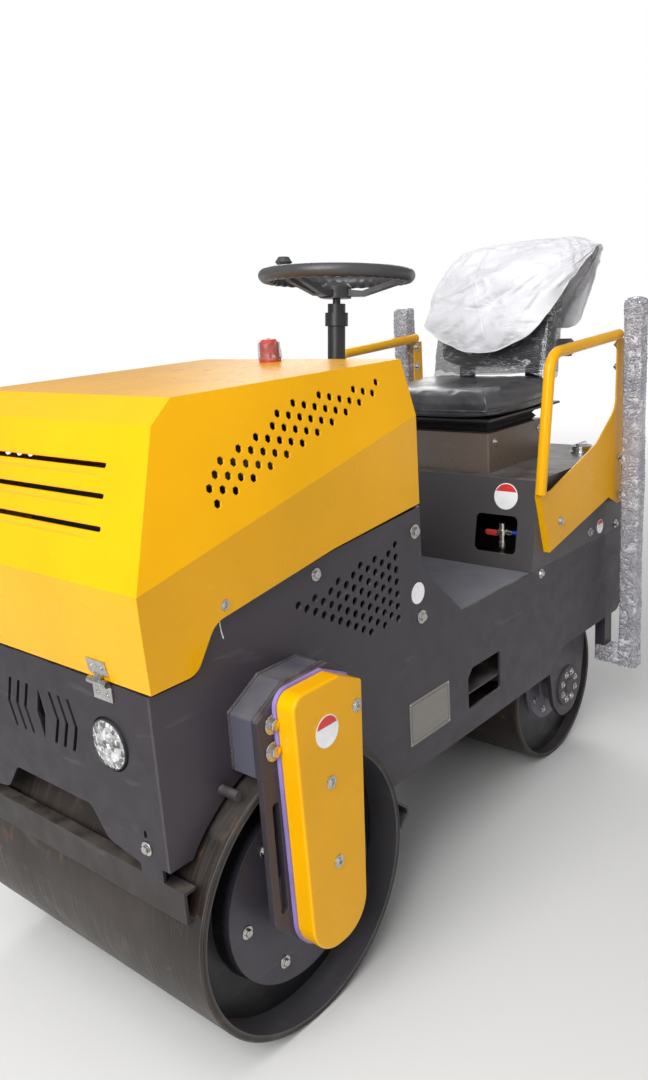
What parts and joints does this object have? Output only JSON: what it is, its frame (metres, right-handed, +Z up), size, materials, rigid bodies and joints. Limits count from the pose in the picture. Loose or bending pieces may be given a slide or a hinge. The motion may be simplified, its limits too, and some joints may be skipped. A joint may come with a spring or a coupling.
{
  "type": "ride-on double drum road roller",
  "caption": "Small ride-on road roller with smooth front drum, steered rear drum, tilting hood, open operator's place, seat, side guards and wrapped posts.",
  "frame": {"origin": "on the ground under the middle of the whole machine's box, midway between the hood's foremost edge and the rear panel", "axes": "+X forward along the machine, +Y to the operator's left, +Z up"},
  "size_m": [1.788, 0.886, 1.462],
  "materials": {
    "grey_paint": "satin dark grey paint",
    "dark_paint": "satin dark paint",
    "floor_paint": "worn blue-grey paint",
    "yellow_paint": "gloss yellow paint",
    "black_paint": "satin black paint",
    "drum_steel": "rolled mill steel with dull grey primer",
    "cast_iron": "painted cast iron",
    "bright_steel": "zinc plated steel",
    "chrome": "polished chrome",
    "lamp": "clear faceted lens",
    "edge_rubber": "violet edge strip",
    "black_rubber": "matt rubber",
    "black_plastic": "fine grained plastic",
    "black_vinyl": "smooth vinyl",
    "white_cloth": "thin white cloth",
    "bubble_wrap": "clear bubble film",
    "red_plastic": "red plastic under clear film",
    "valve_metal": "nickel plated fitting",
    "blue_hose": "blue water hose",
    "drum_end_paint": "satin dark grey paint over welded plate"
  },
  "bodies": {
    "chassis": {"side_plate_left": "grey_paint", "side_plate_right": "grey_paint", "front_panel": "grey_paint", "headlamps": "lamp", "front_scraper": "grey_paint", "back_scraper": "grey_paint", "arm_brackets": "grey_paint", "front_arm_left": "grey_paint", "front_arm_right": "grey_paint", "belt_guard": "yellow_paint", "guard_seal": "edge_rubber", "travel_motor": "cast_iron", "hinge_leaves_fixed": "bright_steel", "bulkhead": "grey_paint", "dashboard": "black_plastic", "travel_lever": "black_plastic", "steering_column": "black_paint", "floor_plate": "floor_paint", "engine_deck": "grey_paint", "engine": "cast_iron", "belly_plate": "grey_paint", "seat_base": "grey_paint", "rear_panel": "grey_paint", "suspension_box": "dark_paint", "seat_bellows": "black_rubber", "seat_frame": "black_paint", "seat_cushion": "black_vinyl", "backrest": "black_vinyl", "cover_bag": "white_cloth", "backrest_knob": "black_plastic", "filler_cap": "chrome", "water_valve": "valve_metal", "water_hose": "blue_hose", "side_guard_left": "yellow_paint", "side_guard_right": "yellow_paint", "posts": "yellow_paint", "post_wrap_left": "bubble_wrap", "post_wrap_right": "bubble_wrap", "kingpin_housing": "grey_paint", "cylinder_anchor": "grey_paint"},
    "front_drum": {"front_drum": "drum_steel", "front_drum_ends": "drum_end_paint"},
    "yoke": {"steering_yoke": "grey_paint", "rear_scraper": "grey_paint"},
    "rear_drum": {"rear_drum": "drum_steel", "rear_drum_ends": "drum_end_paint"},
    "hood": {"hood": "yellow_paint", "hinge_leaves_hood": "bright_steel", "red_cap": "red_plastic"},
    "steering_wheel": {"steering_wheel": "black_plastic"},
    "cylinder_barrel": {"steering_cylinder": "black_paint"},
    "cylinder_rod": {"steering_rod": "chrome"}
  },
  "joints": [
    {"name": "front_drum_roll", "type": "hinge", "parent": "chassis", "child": "front_drum", "pos_m": [0.576, 0, 0.28], "axis": [0, 1, 0], "continuous": true},
    {"name": "steering", "type": "hinge", "parent": "chassis", "child": "yoke", "pos_m": [-0.621, 0, 0.5], "axis": [0, 0, 1], "range_deg": [-20, 20]},
    {"name": "rear_drum_roll", "type": "hinge", "parent": "yoke", "child": "rear_drum", "pos_m": [-0.621, 0, 0.222], "axis": [0, 1, 0], "continuous": true},
    {"name": "hood_tilt", "type": "hinge", "parent": "chassis", "child": "hood", "pos_m": [0.869, 0, 0.773], "axis": [0, 1, 0], "range_deg": [0, 65]},
    {"name": "steering_wheel_turn", "type": "hinge", "parent": "chassis", "child": "steering_wheel", "pos_m": [-0.044, 0, 1.39], "axis": [-0.0991, 0, 0.9951], "range_deg": [-271, 271]},
    {"name": "cylinder_swing", "type": "hinge", "parent": "chassis", "child": "cylinder_barrel", "pos_m": [-0.201, -0.14, 0.51], "axis": [0, 0, 1], "range_deg": [-1.5, 1.5]},
    {"name": "cylinder_stroke", "type": "slide", "parent": "cylinder_barrel", "child": "cylinder_rod", "axis": [-0.9991, 0.0434, 0], "range_m": [-0.0422, 0.0422]}
  ],
  "couplings": [
    {"joint": "steering_wheel_turn", "follows": "steering", "ratio": -13.5},
    {"joint": "cylinder_swing", "follows": "steering", "ratio": 0.0707},
    {"joint": "cylinder_stroke", "follows": "steering", "m_per_rad": -0.1196}
  ]
}
